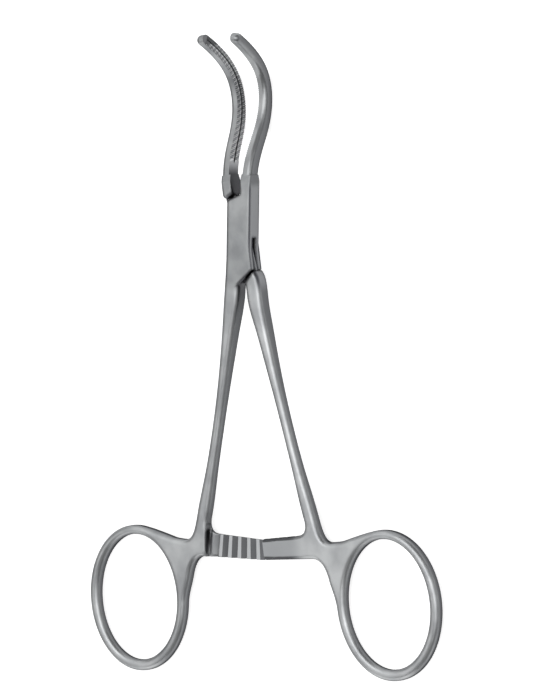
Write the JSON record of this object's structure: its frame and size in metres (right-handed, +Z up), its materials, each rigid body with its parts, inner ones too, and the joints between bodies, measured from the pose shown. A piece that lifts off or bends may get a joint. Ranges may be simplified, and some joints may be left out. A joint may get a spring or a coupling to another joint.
{
  "type": "vascular clamp",
  "caption": "Ring-handled vascular clamp with a box lock, a ratchet between the shanks and long serrated jaws that curve out of the plane of the handles.",
  "frame": {"origin": "centre of the bounding box's bottom face, on the surface the clamp lies on", "axes": "+Y from the finger rings to the jaw tips, +X to the side of the tongue half's ring, +Z up, out of the front of the box lock"},
  "size_m": [0.1134, 0.1592, 0.0145],
  "materials": {
    "forged_steel": "satin",
    "pin_steel": "ground flush, satin"
  },
  "bodies": {
    "box_body": {"box_half": "forged_steel", "pivot_pin": "pin_steel"},
    "tongue_body": {"tongue_half": "forged_steel"}
  },
  "joints": [
    {"name": "box_lock", "type": "hinge", "parent": "box_body", "child": "tongue_body", "pos_m": [0, 0.02915, 0.00615], "axis": [0, -0.0449, 0.999], "range_deg": [-10, 35]}
  ]
}
